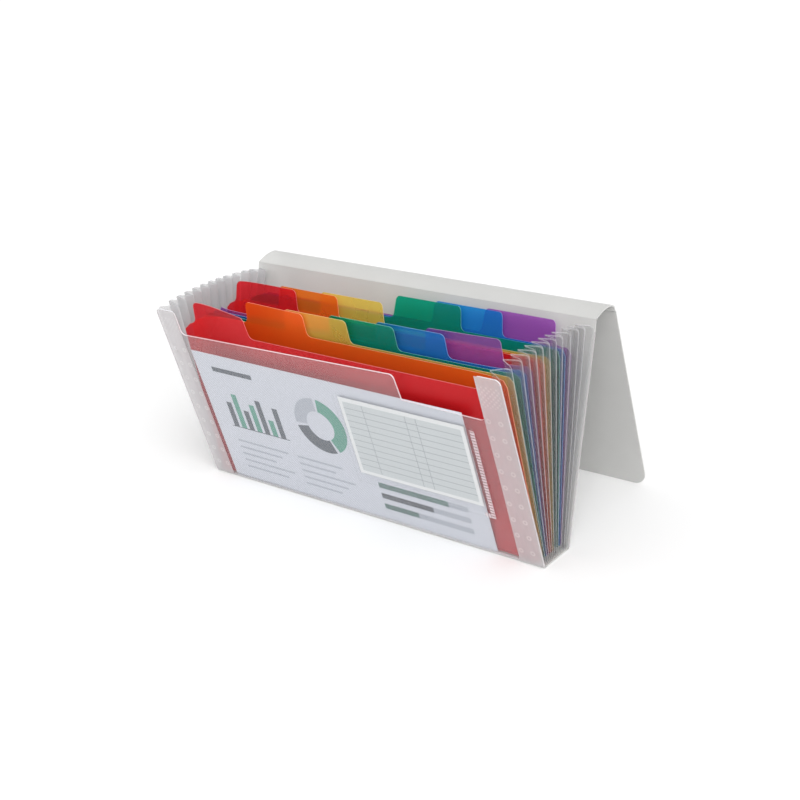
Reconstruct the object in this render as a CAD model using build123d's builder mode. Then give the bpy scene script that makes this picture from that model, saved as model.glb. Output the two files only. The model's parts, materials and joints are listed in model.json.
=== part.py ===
from build123d import *
from math import atan, cos, degrees, radians, sin, tan
import os

# Accordion file folder: a wrap-round cover of frosted sheet plastic, two pleated side gussets and a fan
# of tabbed dividers between them. It stands open on its bottom strip, with the cover flap folded back
# as a rear leg.
# Millimetres and degrees. X runs along the folder, Y towards the back, Z up.
# The origin is on the floor, under the middle of the bottom strip.

# Cover, one sheet with four creases
length = 260.0
base_depth = 24.0
front_height = 126.0
rear_height = 130.0
spine_width = 20.0
cover_thickness = 0.8
crease_gap = 0.8  # from a crease's axis to the edge of the sheet that turns about it
flap_corner_radius = 9.0

# Open stance: a positive lean is backwards
front_lean_angle = -12.0
rear_lean_angle = 18.5
spine_drop_angle = 5.0  # fall of the spine strip towards the back
flap_splay_angle = 11.5  # of the flap from upright, its free edge outwards

# Front panel's top edge between its two full-height ears, as drops below the full height
left_drop = 16.5
crest_drop = 11.5
notch_drop = 28.0
right_drop = 29.0
notch_from_right = 74.0  # from the cover's right end to the step in the edge
notch_run = 1.5  # run of the step
ear_corner_radius = 3.0
crest_corner_radius = 3.0
notch_corner_radius = 1.0

# Gussets and the flanges that weld them to the cover
gusset_thickness = 0.25
pleat_depth = 12.0  # from the outer to the inner folds, at the top
fold_tip = 0.6  # from a fold's centre line to its outer edge
flange_width = 16.0
flange_thickness = 0.3
weld_radius = 1.1
weld_depth = 0.15
weld_spacing = 12.0
weld_column_gap = 6.5
weld_rows = 9
weld_sides = 8
weld_taper_angle = 35.0

# Dividers
colours = ("red", "orange", "yellow", "green", "blue", "purple")
tab_rows = 2
divider_thickness = 0.4
tab_height = 14.0
tab_width = 48.5
tab_flare = 1.5  # each side, at the foot of a tab
tab_margin = 22.0  # from either end of the cover to the nearest tab
tab_corner_radius = 3.0
tab_foot_radius = 3.5
wide_pocket_number = 9  # the pocket that stands widest open, counting the front one as 0
wide_pocket_ratio = 2.7  # its opening, in ordinary pockets

# Card, card pocket and insert
card_width = 90.0
card_height = 55.0
card_thickness = 0.3
card_side_room = 0.5
card_head_room = 2.0
film_thickness = 0.25
pocket_bottom = 28.0  # up the front panel
pocket_from_right = 24.5  # from the cover's right end
seam_left = 3.5
seam_right = 7.0
seam_bottom = 7.0
pocket_corner_radius = 2.0
rib_spacing = 1.6  # of the ribs pressed into the right seam
rib_length = 2.4
rib_width = 0.8
rib_depth = 0.12
rib_inset = 2.4  # of the middle of the rib row, from the pocket's right edge
rib_margin = 3.0  # from either end of the seam to the rib row
insert_width = 210.0
insert_height = 97.0
insert_thickness = 0.25
insert_from_left = 18.0
insert_seat = 1.2  # its lower edge, up the front panel

# Clearances
hinge_clearance = 0.2  # divider foot to bottom strip
fold_clearance = 0.3  # gusset to its neighbours
slot_clearance = 0.15  # each face of the card and of the insert

# Values worked out from the sizes above
half_sheet = cover_thickness / 2
half_length = length / 2
divider_count = len(colours) * tab_rows
pocket_count = divider_count + 1
foot_radius = divider_thickness / 2
foot_level = cover_thickness + hinge_clearance + foot_radius
divider_height = front_height - tab_height
tab_step = (length - 2 * tab_margin - tab_width) / (len(colours) - 1)


def leaf(crease, lean):
    """Plane of a sheet that leans from a crease: X along the folder, Y up the sheet, Z to the front."""
    y, z = crease
    return Plane(origin=(0, y, z), x_dir=(1, 0, 0), z_dir=(0, -cos(radians(lean)), sin(radians(lean))))


def along(crease, lean, reach):
    """(Y, Z) of the point a given reach up a leaning sheet."""
    y, z = crease
    return y + reach * sin(radians(lean)), z + reach * cos(radians(lean))


front_crease = (-base_depth / 2, half_sheet)
rear_crease = (base_depth / 2, half_sheet)
spine_crease = along(rear_crease, rear_lean_angle, rear_height)
spine_lean_angle = 90 + spine_drop_angle
flap_crease = along(spine_crease, spine_lean_angle, spine_width)
flap_lean_angle = 180 - flap_splay_angle
# The flap is as long as it takes for the lower corner of its free edge to stand on the floor
flap_edge_drop = half_sheet * sin(radians(flap_splay_angle))
flap_length = (flap_crease[1] - flap_edge_drop) / cos(radians(flap_splay_angle))

front_plane = leaf(front_crease, front_lean_angle)
rear_plane = leaf(rear_crease, rear_lean_angle)
spine_plane = leaf(spine_crease, spine_lean_angle)
flap_plane = leaf(flap_crease, flap_lean_angle)

pieces = {}


# Bottom strip: both of its long edges are the round beads that the front and rear panels turn about
with BuildPart() as bottom_strip:
    with BuildSketch(Plane.YZ.offset(-half_length)):
        with Locations((0, half_sheet)):
            SlotCenterToCenter(base_depth, cover_thickness)
    extrude(amount=length)
pieces["bottom_strip"] = bottom_strip


# Front panel: full-height ears at both ends, a lower edge between them with a step down for the thumb
ear_inside = half_length - flange_width
notch_x = half_length - notch_from_right
front_outline = [
    ((-half_length, crease_gap), 0),
    ((half_length, crease_gap), 0),
    ((half_length, front_height), ear_corner_radius),
    ((ear_inside, front_height), ear_corner_radius),
    ((ear_inside, front_height - right_drop), ear_corner_radius),
    ((notch_x + notch_run, front_height - notch_drop), notch_corner_radius),
    ((notch_x, front_height - crest_drop), crest_corner_radius),
    ((-ear_inside, front_height - left_drop), ear_corner_radius),
    ((-ear_inside, front_height), ear_corner_radius),
    ((-half_length, front_height), ear_corner_radius),
]
with BuildPart() as front_panel:
    with BuildSketch(front_plane):
        with BuildLine():
            FilletPolyline(
                [point for point, radius in front_outline],
                radius=[radius for point, radius in front_outline],
                close=True,
            )
        make_face()
    extrude(amount=half_sheet, both=True)
pieces["front_panel"] = front_panel


def creased_sheet(plane, reach):
    """A full-length sheet that starts clear of one crease and ends in the round bead of the next."""
    bead_plane = Plane(origin=plane.from_local_coords((-half_length, reach, 0)), z_dir=(1, 0, 0))
    with BuildPart() as sheet:
        with BuildSketch(plane):
            with Locations((0, (crease_gap + reach) / 2)):
                Rectangle(length, reach - crease_gap)
        extrude(amount=half_sheet, both=True)
        with BuildSketch(bead_plane):
            Circle(half_sheet)
        extrude(amount=length)
    return sheet


pieces["rear_panel"] = creased_sheet(rear_plane, rear_height)
pieces["spine_strip"] = creased_sheet(spine_plane, spine_width)


# Cover flap: two rounded corners on the free edge
with BuildPart() as cover_flap:
    with BuildSketch(flap_plane) as flap_outline:
        with Locations((0, (crease_gap + flap_length) / 2)):
            Rectangle(length, flap_length - crease_gap)
        fillet(flap_outline.vertices().group_by(Axis.Y)[-1], radius=flap_corner_radius)
    extrude(amount=half_sheet, both=True)
pieces["cover_flap"] = cover_flap


# Fan of leaves, numbered from the front panel (0) through the dividers to the rear panel (last). All
# their planes meet in one line below the floor, where those of the front and rear panels do, so each
# pleat of a gusset between them is flat.
top_level = foot_level + front_height
front_slope = tan(radians(front_lean_angle))
rear_slope = tan(radians(rear_lean_angle))
apex_level = half_sheet - base_depth / (rear_slope - front_slope)
apex_y = front_crease[0] + (apex_level - half_sheet) * front_slope
openings = [wide_pocket_ratio if pocket == wide_pocket_number else 1.0 for pocket in range(pocket_count)]
slopes = [
    front_slope + (rear_slope - front_slope) * sum(openings[:number]) / sum(openings)
    for number in range(pocket_count + 1)
]


def slope_of(number):
    """Tangent of a leaf's lean; a half number lies midway between two leaves."""
    before = int(number)
    after = min(before + 1, pocket_count)
    return slopes[before] + (slopes[after] - slopes[before]) * (number - before)


def lean_of(number):
    """Lean of a leaf."""
    return degrees(atan(slope_of(number)))


def leaf_y(number, level):
    """Y of a leaf's middle plane at a level above the floor."""
    return apex_y + (level - apex_level) * slope_of(number)


def foot(number):
    """(Y, Z) of the bottom line of a leaf."""
    return leaf_y(number, foot_level), foot_level


def inner_fold_x(level):
    """Distance from the middle of the folder to a gusset's inner folds, at a level above the floor."""
    depth = pleat_depth * (level - apex_level) / (top_level - apex_level)
    return half_length - fold_tip - depth


# Dividers: one per pocket wall, with the tabs stepping along each row
for number in range(1, divider_count + 1):
    place = (number - 1) % len(colours)
    divider_plane = leaf(foot(number), lean_of(number))
    side_room = fold_tip + fold_clearance
    foot_x = inner_fold_x(foot_level) - side_room
    top_x = inner_fold_x(divider_height) - side_room
    tab_left = -half_length + tab_margin + tab_step * place
    tab_right = tab_left + tab_width
    outline = [
        ((-foot_x, 0), 0),
        ((foot_x, 0), 0),
        ((top_x, divider_height), tab_corner_radius),
        ((tab_right + tab_flare, divider_height), tab_foot_radius),
        ((tab_right, front_height), tab_corner_radius),
        ((tab_left, front_height), tab_corner_radius),
        ((tab_left - tab_flare, divider_height), tab_foot_radius),
        ((-top_x, divider_height), tab_corner_radius),
    ]
    with BuildPart() as divider:
        with BuildSketch(divider_plane):
            with BuildLine():
                FilletPolyline(
                    [point for point, radius in outline],
                    radius=[radius for point, radius in outline],
                    close=True,
                )
            make_face()
        extrude(amount=foot_radius, both=True)
        with BuildSketch(Plane(origin=(-foot_x, *foot(number)), z_dir=(1, 0, 0))):
            Circle(foot_radius)
        extrude(amount=2 * foot_x)
    pieces[f"divider_{number:02d}_{colours[place]}"] = divider


# Side gussets: one pleated sheet each. Its outer folds stand between the dividers and its inner folds
# meet the dividers' side edges; every fold is a straight line from its foot to the top of its leaf.
fold_numbers = [0, 1]
for number in range(1, divider_count):
    fold_numbers += [number + 0.5, number + 1]
fold_numbers += [pocket_count]
gusset_foot = cover_thickness + fold_clearance
panel_room = half_sheet + fold_clearance + gusset_thickness / 2


def fold_y(number, level):
    """Y of a fold at a level above the floor; the end folds lie inside the front and rear panels."""
    end_room = panel_room / cos(radians(lean_of(number)))
    if number == 0:
        return leaf_y(number, level) + end_room
    if number == pocket_count:
        return leaf_y(number, level) - end_room
    return leaf_y(number, level)


def fold_ends(index, sign):
    """Lower and upper end of a fold on the left (-1) or right (1) side; even ones are outer folds."""
    number = fold_numbers[index]
    fold_top = along(foot(number), lean_of(number), front_height)[1]
    ends = []
    for level in (gusset_foot, fold_top):
        x = inner_fold_x(level) if index % 2 else half_length - fold_tip
        ends.append(Vector(sign * x, fold_y(number, level), level))
    return ends


for side, sign in (("left", -1), ("right", 1)):
    panels = []
    for index in range(len(fold_numbers) - 1):
        (foot_a, top_a), (foot_b, top_b) = fold_ends(index, sign), fold_ends(index + 1, sign)
        if index in (0, len(fold_numbers) - 2):
            # An end pleat is slightly twisted, so it is two flat halves
            panels += [[foot_a, foot_b, top_b], [foot_a, top_b, top_a]]
        else:
            panels.append([foot_a, foot_b, top_b, top_a])
    with BuildPart() as gusset:
        for corners in panels:
            across, up = corners[1] - corners[0], corners[2] - corners[0]
            pleat_plane = Plane(origin=corners[0], x_dir=across, z_dir=across.cross(up))
            with BuildSketch(pleat_plane):
                with BuildLine():
                    Polyline([pleat_plane.to_local_coords(corner) for corner in corners], close=True)
                make_face()
        extrude(amount=gusset_thickness / 2, both=True)
    pieces[f"{side}_gusset"] = gusset


# Gusset flanges: strips folded round the side edges of the front and rear panels, spot-welded in two
# staggered columns
for panel, plane, outward in (("front", front_plane, 1), ("rear", rear_plane, -1)):
    for side, sign in (("left", -1), ("right", 1)):
        face = plane.offset(outward * half_sheet)
        back = plane.offset(-outward * half_sheet)
        with BuildPart() as flange:
            with BuildSketch(face):
                with BuildLine():
                    FilletPolyline(
                        (sign * ear_inside, crease_gap),
                        (sign * half_length, crease_gap),
                        (sign * half_length, front_height),
                        (sign * ear_inside, front_height),
                        radius=[0, 0, ear_corner_radius, 0],
                        close=True,
                    )
                make_face()
            extrude(amount=outward * flange_thickness)
            with BuildSketch(back):
                lip_height = front_height - ear_corner_radius - crease_gap
                with Locations((sign * (half_length + flange_thickness / 2), crease_gap + lip_height / 2)):
                    Rectangle(flange_thickness, lip_height)
            extrude(amount=outward * (cover_thickness + flange_thickness))
            with BuildSketch(face.offset(outward * flange_thickness)):
                for column in (-1, 1):
                    x = sign * (half_length - flange_width / 2 + column * weld_column_gap / 2)
                    y = (crease_gap + front_height + column * weld_spacing / 2) / 2
                    with Locations((x, y)):
                        with GridLocations(weld_spacing, weld_spacing, 1, weld_rows):
                            RegularPolygon(weld_radius, weld_sides)
            extrude(amount=-outward * weld_depth, taper=weld_taper_angle, mode=Mode.SUBTRACT)
        pieces[f"{side}_{panel}_flange"] = flange


# Card pocket: a film welded to the front panel along three seams, open at the top, with the marks of a
# ribbed welding bar pressed into its right seam
slot_depth = card_thickness + 2 * slot_clearance
slot_width = card_width + 2 * card_side_room
pocket_width = seam_left + slot_width + seam_right
pocket_height = seam_bottom + card_height + card_head_room
pocket_right = half_length - pocket_from_right
pocket_x = pocket_right - pocket_width / 2
slot_x = pocket_right - seam_right - slot_width / 2
card_foot = pocket_bottom + seam_bottom
rib_count = int((pocket_height - 2 * rib_margin) / rib_spacing)
with BuildPart() as card_pocket:
    with BuildSketch(front_plane.offset(half_sheet)):
        with Locations((pocket_x, pocket_bottom + pocket_height / 2)):
            RectangleRounded(pocket_width, pocket_height, pocket_corner_radius)
    extrude(amount=slot_depth + film_thickness)
    with BuildSketch(front_plane.offset(half_sheet)):
        with Locations((slot_x, card_foot + pocket_height / 2)):
            Rectangle(slot_width, pocket_height)
    extrude(amount=slot_depth, mode=Mode.SUBTRACT)
    with BuildSketch(front_plane.offset(half_sheet + slot_depth + film_thickness)):
        with Locations((pocket_right - rib_inset, pocket_bottom + pocket_height / 2)):
            with GridLocations(rib_length, rib_spacing, 1, rib_count):
                Rectangle(rib_length, rib_width)
    extrude(amount=-rib_depth, mode=Mode.SUBTRACT)
pieces["card_pocket"] = card_pocket

with BuildPart() as index_card:
    with BuildSketch(front_plane.offset(half_sheet + slot_clearance)):
        with Locations((slot_x, card_foot + card_height / 2)):
            Rectangle(card_width, card_height)
    extrude(amount=card_thickness)
pieces["index_card"] = index_card


# Insert sheet: stands in the front pocket, against the inside of the front panel
with BuildPart() as insert_sheet:
    insert_x = -half_length + insert_from_left + insert_width / 2
    with BuildSketch(front_plane.offset(-half_sheet - slot_clearance)):
        with Locations((insert_x, insert_seat + insert_height / 2)):
            Rectangle(insert_width, insert_height)
    extrude(amount=-insert_thickness)
pieces["insert_sheet"] = insert_sheet


os.makedirs("parts", exist_ok=True)
for name, piece in pieces.items():
    piece.part.label = name
    export_step(piece.part, f"parts/{name}.step")
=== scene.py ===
"""Looks of an accordion file folder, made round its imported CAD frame.

Run as a script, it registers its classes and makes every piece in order.
Lengths are in metres. X runs along the folder, Y towards the back, Z up.
"""

import json
import math

import bpy
import numpy as np
from bpy.props import FloatProperty, FloatVectorProperty, IntProperty, PointerProperty
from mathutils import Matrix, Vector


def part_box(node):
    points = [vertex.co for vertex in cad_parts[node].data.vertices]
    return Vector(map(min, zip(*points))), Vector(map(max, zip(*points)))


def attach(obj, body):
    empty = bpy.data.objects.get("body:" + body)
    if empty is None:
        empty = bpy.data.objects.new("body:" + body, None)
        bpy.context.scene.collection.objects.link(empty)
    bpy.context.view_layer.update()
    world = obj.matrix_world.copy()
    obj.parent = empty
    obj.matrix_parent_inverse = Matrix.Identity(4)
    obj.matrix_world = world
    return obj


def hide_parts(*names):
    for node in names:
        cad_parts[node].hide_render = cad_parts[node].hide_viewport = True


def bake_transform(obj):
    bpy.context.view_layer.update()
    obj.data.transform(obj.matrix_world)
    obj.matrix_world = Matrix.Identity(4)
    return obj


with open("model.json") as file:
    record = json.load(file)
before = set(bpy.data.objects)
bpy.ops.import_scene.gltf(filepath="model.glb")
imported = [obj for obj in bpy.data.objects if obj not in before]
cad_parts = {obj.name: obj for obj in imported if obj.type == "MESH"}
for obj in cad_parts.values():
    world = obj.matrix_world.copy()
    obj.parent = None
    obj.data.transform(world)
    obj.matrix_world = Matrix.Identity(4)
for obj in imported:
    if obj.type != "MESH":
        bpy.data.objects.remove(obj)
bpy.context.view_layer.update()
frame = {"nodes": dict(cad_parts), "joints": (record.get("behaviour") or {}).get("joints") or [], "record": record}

bl_info = {
    "name": "Accordion file folder",
    "version": (1, 0, 0),
    "blender": (4, 5, 0),
    "location": "View3D > Sidebar > Folder",
    "description": "Dresses the packed frame of an accordion file folder with its sheets, papers and stage",
    "category": "Object",
}

MM = 0.001
WHITENING = "whitening"
POLYPROPYLENE_IOR = 1.49
EDGE_TURN = 0.6  # the least share of Y in the normal of a sheet's faces; its cut edges have less
STREAK_WIDTH, STREAK_LENGTH = 0.002, 0.02  # of the marks that extrusion leaves in a clear film
ARC_POINTS = 9  # along a crease or a rounded corner

# What the frame says about the fan: leaf 0 is the front panel, then the dividers, last the rear panel
JOINTS = {joint["name"]: joint for joint in frame["joints"]}
HINGES = {name: np.array(joint["pos_m"]) for name, joint in JOINTS.items() if "pos_m" in joint}
RATIOS = {row["joint"]: row["ratio"] for row in frame["record"]["behaviour"]["couplings"]}
DIVIDERS = sorted(name for name in frame["nodes"] if name.startswith("divider_"))
REAR = len(DIVIDERS) + 1
LEAF_BODIES = ["front", *(name[: len("divider_00")] for name in DIVIDERS), "rear"]
LEAF_HINGES = np.array([HINGES[f"{body}_fold"] for body in LEAF_BODIES])
LEAF_TURNS = np.array([RATIOS.get(f"{body}_fold", 1.0) for body in LEAF_BODIES])

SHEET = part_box("bottom_strip")[1].z
HALF_SHEET = SHEET / 2
HALF_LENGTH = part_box("bottom_strip")[1].x
SLIDE = JOINTS["insert_slide"]["axis"]
FRONT_SLOPE = SLIDE[1] / SLIDE[2]
SPINE_RISE = HINGES["spine_fold"] - HINGES["rear_fold"]
REAR_SLOPE = SPINE_RISE[1] / SPINE_RISE[2]
FRONT_LEAN, REAR_LEAN = math.atan(FRONT_SLOPE), math.atan(REAR_SLOPE)

# All leaves of the frame meet in one line below the floor
DEPTH = HINGES["rear_fold"][1] - HINGES["front_fold"][1]
APEX_Z = HALF_SHEET - DEPTH / (REAR_SLOPE - FRONT_SLOPE)
APEX_Y = HINGES["front_fold"][1] + (APEX_Z - HALF_SHEET) * FRONT_SLOPE
FRAME_SLOPES = (LEAF_HINGES[:, 1] - APEX_Y) / (LEAF_HINGES[:, 2] - APEX_Z)
FOOT_LEVEL = LEAF_HINGES[1][2]
LEAF_FEET = APEX_Y + (FOOT_LEVEL - APEX_Z) * FRAME_SLOPES
LEAF_NUMBERS = np.arange(REAR + 1)

# The soft sheets do not stand just as the leaves of the frame do: how far each sags back at the left and
# at the right gusset, in degrees. All of the sag is gone when the folder has closed, so a sheet's turn is
# its leaf's and its sag, in turns of the rear panel.
SAG = np.array([
    [0.0, 0.3, 0.6, 0.8, 1.0, 1.3, 1.5, 1.7, 1.9, 2.1, -1.1, -0.8, -0.4, 0.0],
    [0.0, 0.0, 2.6, 2.8, 2.9, 2.9, 2.9, 2.9, 2.9, 2.9, -0.4, -0.4, -0.2, 0.0],
])
CLOSING = JOINTS["rear_fold"]["range_deg"][1]
SHEET_SLOPES = np.tan(np.arctan(FRAME_SLOPES) + np.radians(SAG))
SHEET_TURNS = LEAF_TURNS + SAG / CLOSING


def linear(code):
    """Linear RGB of an sRGB hex colour."""
    part = np.array([int(code[i:i + 2], 16) for i in (1, 3, 5)]) / 255
    return tuple(np.where(part <= 0.04045, part / 12.92, ((part + 0.055) / 1.055) ** 2.4).tolist())


def length(name, description, default):
    """A size property, in metres."""
    return FloatProperty(name=name, description=description, default=default, min=0.0, unit="LENGTH", precision=5)


def colour(name, description, code):
    """A colour property, given as an sRGB hex value."""
    return FloatVectorProperty(
        name=name, description=description, default=linear(code), subtype="COLOR", size=3, min=0.0, max=1.0
    )


def share(name, description, default):
    """A property from 0 to 1."""
    return FloatProperty(name=name, description=description, default=default, min=0.0, max=1.0, subtype="FACTOR")


def strength(name, description, default):
    """A property from 0 up."""
    return FloatProperty(name=name, description=description, default=default, min=0.0)


def count(name, description, default):
    """A whole-number property."""
    return IntProperty(name=name, description=description, default=default, min=1)


def add_node(tree, kind, inputs=None, **settings):
    """Adds one node with its settings; an input that is a socket is linked, any other is set."""
    node = tree.nodes.new(kind)
    for name, value in settings.items():
        setattr(node, name, value)
    for key, value in (inputs or {}).items():
        if isinstance(value, bpy.types.NodeSocket):
            tree.links.new(value, node.inputs[key])
        else:
            node.inputs[key].default_value = value
    return node


def new_material(name):
    """An empty node material and its tree."""
    material = bpy.data.materials.new(name)
    material.use_nodes = True
    material.node_tree.nodes.clear()
    return material, material.node_tree


def rgba(rgb, factor=1.0):
    """A colour socket's value, with its brightness scaled."""
    return (*(min(1.0, value * factor) for value in rgb), 1.0)


def cut_edge(tree, coords):
    """Mask of the narrow cut edges of an upright sheet: 1 where the piece's own normal turns away from Y."""
    normal = add_node(tree, "ShaderNodeSeparateXYZ", {0: coords.outputs["Normal"]})
    size = add_node(tree, "ShaderNodeMath", {0: normal.outputs["Y"]}, operation="ABSOLUTE")
    return add_node(tree, "ShaderNodeMath", {0: size.outputs[0], 1: EDGE_TURN}, operation="LESS_THAN").outputs[0]


def mottle(tree, vector, size, body, detail, low, high):
    """A noise with patches of one size, and the body's colour scaled by it from low to high."""
    noise = add_node(tree, "ShaderNodeTexNoise", {"Vector": vector, "Scale": 1 / size, "Detail": detail})
    tone = add_node(
        tree, "ShaderNodeMix", {0: noise.outputs["Fac"], 6: rgba(body, low), 7: rgba(body, high)}, data_type="RGBA"
    )
    return noise.outputs["Fac"], tone.outputs[2]


def grained(tree, vector, size, depth, amount):
    """A surface normal roughened by a noise with grains of one size."""
    grain = add_node(tree, "ShaderNodeTexNoise", {"Vector": vector, "Scale": 1 / size, "Detail": 2.0})
    bump = add_node(tree, "ShaderNodeBump", {"Height": grain.outputs["Fac"], "Strength": amount, "Distance": depth})
    return bump.outputs["Normal"]


def see_through(tree, solid, through, plastic):
    """Puts a sheet on the output that scatters a share of the light and lets the rest go straight through."""
    sheet = add_node(
        tree, "ShaderNodeMixShader", {0: solid.outputs[0], 1: through.outputs[0], 2: plastic.outputs[0]}
    )
    add_node(tree, "ShaderNodeOutputMaterial", {"Surface": sheet.outputs[0]})


def frosted_polypropylene(look):
    """Extruded sheet with a matt embossed face: soft milky grey, cloudy, with a fine sanded grain."""
    material, tree = new_material("frosted_polypropylene")
    place = add_node(tree, "ShaderNodeTexCoord").outputs["Object"]
    _, tone = mottle(tree, place, look.cloud_size, look.colour, detail=3.0, low=0.93, high=1.05)
    plastic = add_node(
        tree,
        "ShaderNodeBsdfPrincipled",
        {
            "Base Color": tone,
            "Roughness": 0.48,
            "IOR": POLYPROPYLENE_IOR,
            "Alpha": look.cover_solid,
            "Normal": grained(tree, place, look.grain_size, depth=look.grain_size / 6, amount=0.25),
        },
    )
    add_node(tree, "ShaderNodeOutputMaterial", {"Surface": plastic.outputs[0]})
    return material


def hatched_clear_sheet(look):
    """Clear polypropylene with a fine diagonal emboss outside: faint grey hatching, bright along its cut edges."""
    material, tree = new_material("clear_polypropylene_hatched")
    coords = add_node(tree, "ShaderNodeTexCoord")
    slant = math.sqrt(0.5)
    across = (slant, slant * math.sin(FRONT_LEAN), slant * math.cos(FRONT_LEAN))
    run = add_node(
        tree, "ShaderNodeVectorMath", {0: coords.outputs["Object"], 1: across}, operation="DOT_PRODUCT"
    )
    phase = add_node(
        tree, "ShaderNodeMath", {0: run.outputs["Value"], 1: 2 * math.pi / look.hatch_pitch}, operation="MULTIPLY"
    )
    wave = add_node(tree, "ShaderNodeMath", {0: phase.outputs[0]}, operation="SINE")
    normal = add_node(tree, "ShaderNodeSeparateXYZ", {0: coords.outputs["Normal"]})
    outside = add_node(tree, "ShaderNodeMath", {0: normal.outputs["Y"], 1: 0.0}, operation="LESS_THAN")
    hatch = add_node(
        tree, "ShaderNodeMapRange", {0: wave.outputs[0], 1: -1.0, 2: 1.0, 3: 0.0, 4: look.hatch_depth}
    )
    line = add_node(tree, "ShaderNodeMath", {0: hatch.outputs[0], 1: outside.outputs[0]}, operation="MULTIPLY")
    clear = add_node(tree, "ShaderNodeMath", {0: 1.0, 1: line.outputs[0]}, operation="SUBTRACT")
    through = add_node(tree, "ShaderNodeBsdfTransparent", {"Color": clear.outputs[0]})
    bump = add_node(
        tree, "ShaderNodeBump", {"Height": wave.outputs[0], "Strength": 0.15, "Distance": look.hatch_pitch / 30}
    )
    plastic = add_node(
        tree,
        "ShaderNodeBsdfPrincipled",
        {
            "Base Color": rgba(look.front_colour),
            "Roughness": 0.28,
            "IOR": POLYPROPYLENE_IOR,
            "Normal": bump.outputs["Normal"],
        },
    )
    solid = add_node(tree, "ShaderNodeMix", {0: cut_edge(tree, coords), 2: look.front_solid, 3: look.edge_solid})
    see_through(tree, solid, through, plastic)
    return material


def clear_sheet(name, tint, solid, grey, white, roughness):
    """Thin clear polypropylene film: a little milky, whitened where the sheet is folded or welded.

    Each face stops part of the light and greys the rest, so films behind one another build up. The piece's whitening
    attribute says where a fold or weld has turned the film white; round the flanges' weld dots it is also a painted
    highlight on the raised rings.
    """
    material, tree = new_material(name)
    coords = add_node(tree, "ShaderNodeTexCoord")
    scale = (1 / STREAK_WIDTH, 1 / STREAK_WIDTH, 1 / STREAK_LENGTH)
    streaks = add_node(tree, "ShaderNodeMapping", {"Vector": coords.outputs["Object"], "Scale": scale})
    _, tone = mottle(tree, streaks.outputs[0], size=1.0, body=tint, detail=2.0, low=0.93, high=1.07)
    film = add_node(
        tree, "ShaderNodeBsdfPrincipled", {"Base Color": tone, "Roughness": roughness, "IOR": POLYPROPYLENE_IOR}
    )
    through = add_node(tree, "ShaderNodeBsdfTransparent", {"Color": rgba((grey, grey, grey))})
    whitened = add_node(tree, "ShaderNodeAttribute", attribute_name=WHITENING)
    level = add_node(tree, "ShaderNodeMix", {0: whitened.outputs["Fac"], 2: solid, 3: white})
    see_through(tree, level, through, film)
    return material


def tinted_polypropylene(name, body, look):
    """Dyed translucent sheet: passes its own colour, so overlapping tabs deepen; paler along the cut edges."""
    material, tree = new_material(name)
    coords = add_node(tree, "ShaderNodeTexCoord")
    place = coords.outputs["Object"]
    _, tone = mottle(tree, place, look.cloud_size, body, detail=2.0, low=0.9, high=1.1)
    edge = cut_edge(tree, coords)
    pale = [look.edge_pale + (1 - look.edge_pale) * value for value in body]
    edged = add_node(tree, "ShaderNodeMix", {0: edge, 6: tone, 7: rgba(pale)}, data_type="RGBA")
    plastic = add_node(
        tree,
        "ShaderNodeBsdfPrincipled",
        {
            "Base Color": edged.outputs[2],
            "Roughness": 0.4,
            "IOR": POLYPROPYLENE_IOR,
            "Normal": grained(tree, place, look.grain_size, depth=look.grain_size / 8, amount=0.15),
        },
    )
    # Dye takes less from light that goes straight through one face than from light scattered in the sheet
    passed = [math.sqrt(value) for value in body]
    through = add_node(tree, "ShaderNodeBsdfTransparent", {"Color": rgba(passed, look.clear)})
    level = add_node(tree, "ShaderNodeMix", {0: edge, 2: look.solid, 3: look.edge_solid})
    see_through(tree, level, through, plastic)
    return material


def paper_stock(name, tint, fibre):
    """Coated paper or card: an even pale face with a faint fibre mottle."""
    material, tree = new_material(name)
    coords = add_node(tree, "ShaderNodeTexCoord")
    fibres, tone = mottle(tree, coords.outputs["Object"], fibre, tint, detail=4.0, low=0.96, high=1.03)
    bump = add_node(tree, "ShaderNodeBump", {"Height": fibres, "Strength": 0.1, "Distance": fibre / 20})
    paper = add_node(
        tree,
        "ShaderNodeBsdfPrincipled",
        {"Base Color": tone, "Roughness": 0.6, "Normal": bump.outputs["Normal"]},
    )
    add_node(tree, "ShaderNodeOutputMaterial", {"Surface": paper.outputs[0]})
    return material


def make_piece(name, grids, materials, thickness, whitening=None):
    """One mesh from (points, slot) grids: a quad between each four neighbours of a grid, then thickened."""
    corners, quads, slots, start = [], [], [], 0
    for points, slot in grids:
        rows, columns = points.shape[:2]
        index = start + np.arange(rows * columns).reshape(rows, columns)
        faces = np.stack([index[:-1, :-1], index[:-1, 1:], index[1:, 1:], index[1:, :-1]], axis=-1)
        corners.append(points.reshape(-1, 3))
        quads.append(faces.reshape(-1, 4))
        slots.append(np.full(len(quads[-1]), slot))
        start += rows * columns
    mesh = bpy.data.meshes.new(name)
    mesh.from_pydata(np.concatenate(corners).tolist(), [], np.concatenate(quads).tolist())
    for material in materials:
        mesh.materials.append(material)
    mesh.polygons.foreach_set("material_index", np.concatenate(slots).astype(np.int32))
    mesh.polygons.foreach_set("use_smooth", np.ones(len(mesh.polygons), dtype=bool))
    # The rim of a thickened sheet is a sharp edge
    users = np.empty(len(mesh.loops), dtype=np.int32)
    mesh.loops.foreach_get("edge_index", users)
    rim = np.bincount(users, minlength=len(mesh.edges)) == 1
    mesh.attributes.new("sharp_edge", "BOOLEAN", "EDGE").data.foreach_set("value", rim)
    if whitening is not None:
        mesh.attributes.new(WHITENING, "FLOAT", "POINT").data.foreach_set(
            "value", np.concatenate([values.ravel() for values in whitening]).astype(np.float32)
        )
    mesh.update()
    piece = bpy.data.objects.new(name, mesh)
    bpy.context.scene.collection.objects.link(piece)
    shell = piece.modifiers.new("thickness", "SOLIDIFY")
    shell.thickness = thickness
    shell.offset = 0.0
    shell.use_even_offset = True
    return piece


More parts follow.
